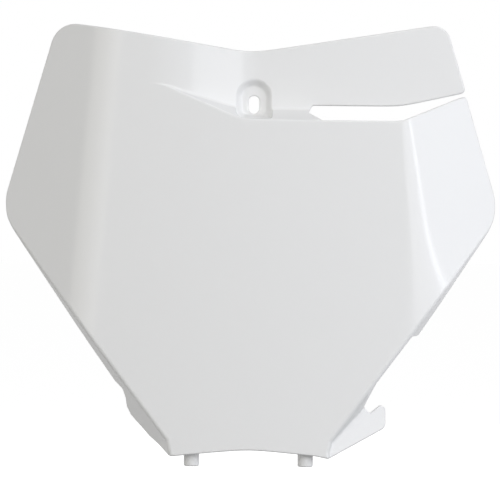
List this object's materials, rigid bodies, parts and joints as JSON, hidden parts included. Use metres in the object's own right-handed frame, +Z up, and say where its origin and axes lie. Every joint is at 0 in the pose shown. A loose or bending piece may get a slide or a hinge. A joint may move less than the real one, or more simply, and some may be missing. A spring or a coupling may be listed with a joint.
{
  "type": "racing number board",
  "caption": "One-piece moulded racing number board with swept wings, a stepped upper band, hose slot, bolt pocket, strap hook and two locating pegs.",
  "frame": {"origin": "middle of the bolt slot, on the front of the seat it goes through", "axes": "+Z up, the board's front faces -Y, +X to the right seen from the front"},
  "size_m": [0.2866, 0.037, 0.2551],
  "materials": {
    "white_plastic": "gloss"
  },
  "bodies": {
    "root": {"number_board": "white_plastic"}
  },
  "joints": []
}
